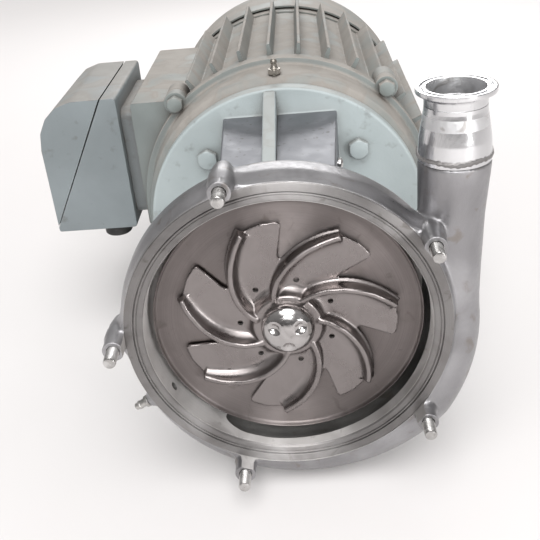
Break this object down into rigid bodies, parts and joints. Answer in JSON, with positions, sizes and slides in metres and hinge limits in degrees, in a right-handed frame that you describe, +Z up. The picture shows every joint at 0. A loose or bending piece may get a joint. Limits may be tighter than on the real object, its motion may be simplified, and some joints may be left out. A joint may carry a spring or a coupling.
{
  "type": "centrifugal water pump",
  "caption": "Close-coupled centrifugal pump with its front cover off, showing the open bowl, curved-vane impeller and studs, on a finned foot-mounted electric motor with a conduit box.",
  "frame": {"origin": "on the surface the feet stand on, under the middle of the whole object's box", "axes": "+Z up; -Y the way the open pump face looks, so +Y runs along the shaft to the motor's fan; +X the side of the discharge tube"},
  "size_m": [0.4648, 0.715, 0.3778],
  "materials": {
    "paint_grey_green": "dull machinery enamel with settled dust",
    "stainless_cast": "dull cast and bead-blasted stainless steel",
    "stainless_polished": "ground and polished stainless steel",
    "steel_plain": "turned steel, lightly oiled",
    "rubber_black": "matt black rubber",
    "carbon_seal": "lapped carbon graphite",
    "ceramic_seal": "lapped ceramic",
    "copper_winding": "varnished copper winding",
    "laminated_iron": "stacked electrical steel",
    "cast_aluminium": "as-cast aluminium"
  },
  "bodies": {
    "pump_body": {"adapter": "paint_grey_green", "adapter_bolt_1": "paint_grey_green", "adapter_bolt_2": "paint_grey_green", "adapter_bolt_3": "paint_grey_green", "adapter_bolt_4": "paint_grey_green", "back_plate": "stainless_polished", "bell_bolt_1": "paint_grey_green", "bell_bolt_2": "paint_grey_green", "bell_bolt_3": "paint_grey_green", "bell_bolt_4": "paint_grey_green", "casing": "stainless_cast", "casing_oring": "rubber_black", "casing_screw_1": "steel_plain", "casing_screw_2": "steel_plain", "casing_screw_3": "steel_plain", "casing_screw_4": "steel_plain", "conduit_box": "paint_grey_green", "conduit_cover": "paint_grey_green", "cover_screw_1": "steel_plain", "cover_screw_2": "steel_plain", "cover_stud_1": "steel_plain", "cover_stud_2": "steel_plain", "cover_stud_3": "steel_plain", "cover_stud_4": "steel_plain", "cover_stud_5": "steel_plain", "discharge_ferrule": "stainless_polished", "discharge_reducer": "stainless_polished", "drain_plug": "steel_plain", "entry_plug": "rubber_black", "fan_cover": "paint_grey_green", "front_bearing_outer_race": "steel_plain", "front_end_bell": "paint_grey_green", "grease_fitting": "steel_plain", "guard_left": "steel_plain", "guard_right": "steel_plain", "guard_screw_left": "steel_plain", "guard_screw_right": "steel_plain", "motor_frame": "paint_grey_green", "rear_bearing_outer_race": "steel_plain", "rear_end_bell": "paint_grey_green", "seal_seat": "ceramic_seal", "stator_core": "laminated_iron", "stator_winding": "copper_winding"},
    "shaft_assembly": {"impeller": "stainless_polished", "impeller_nut": "stainless_polished", "impeller_key": "steel_plain", "nut_oring": "rubber_black", "stub_shaft": "steel_plain", "motor_shaft": "steel_plain", "seal_ring": "carbon_seal", "seal_spring": "steel_plain", "seal_collar": "steel_plain", "slinger": "rubber_black", "front_bearing_inner_race": "steel_plain", "rear_bearing_inner_race": "steel_plain", "rotor": "cast_aluminium", "cooling_fan": "cast_aluminium"},
    "front_ball_set": {"front_bearing_balls": "steel_plain"},
    "rear_ball_set": {"rear_bearing_balls": "steel_plain"}
  },
  "joints": [
    {"name": "shaft_spin", "type": "hinge", "parent": "pump_body", "child": "shaft_assembly", "pos_m": [0.05262, 0, 0.1778], "axis": [0, -1, 0], "continuous": true},
    {"name": "front_ball_spin", "type": "hinge", "parent": "pump_body", "child": "front_ball_set", "pos_m": [0.05262, 0, 0.1778], "axis": [0, -1, 0], "continuous": true},
    {"name": "rear_ball_spin", "type": "hinge", "parent": "pump_body", "child": "rear_ball_set", "pos_m": [0.05262, 0, 0.1778], "axis": [0, -1, 0], "continuous": true}
  ],
  "couplings": [
    {"joint": "front_ball_spin", "follows": "shaft_spin", "ratio": 0.4396},
    {"joint": "rear_ball_spin", "follows": "shaft_spin", "ratio": 0.4281}
  ]
}
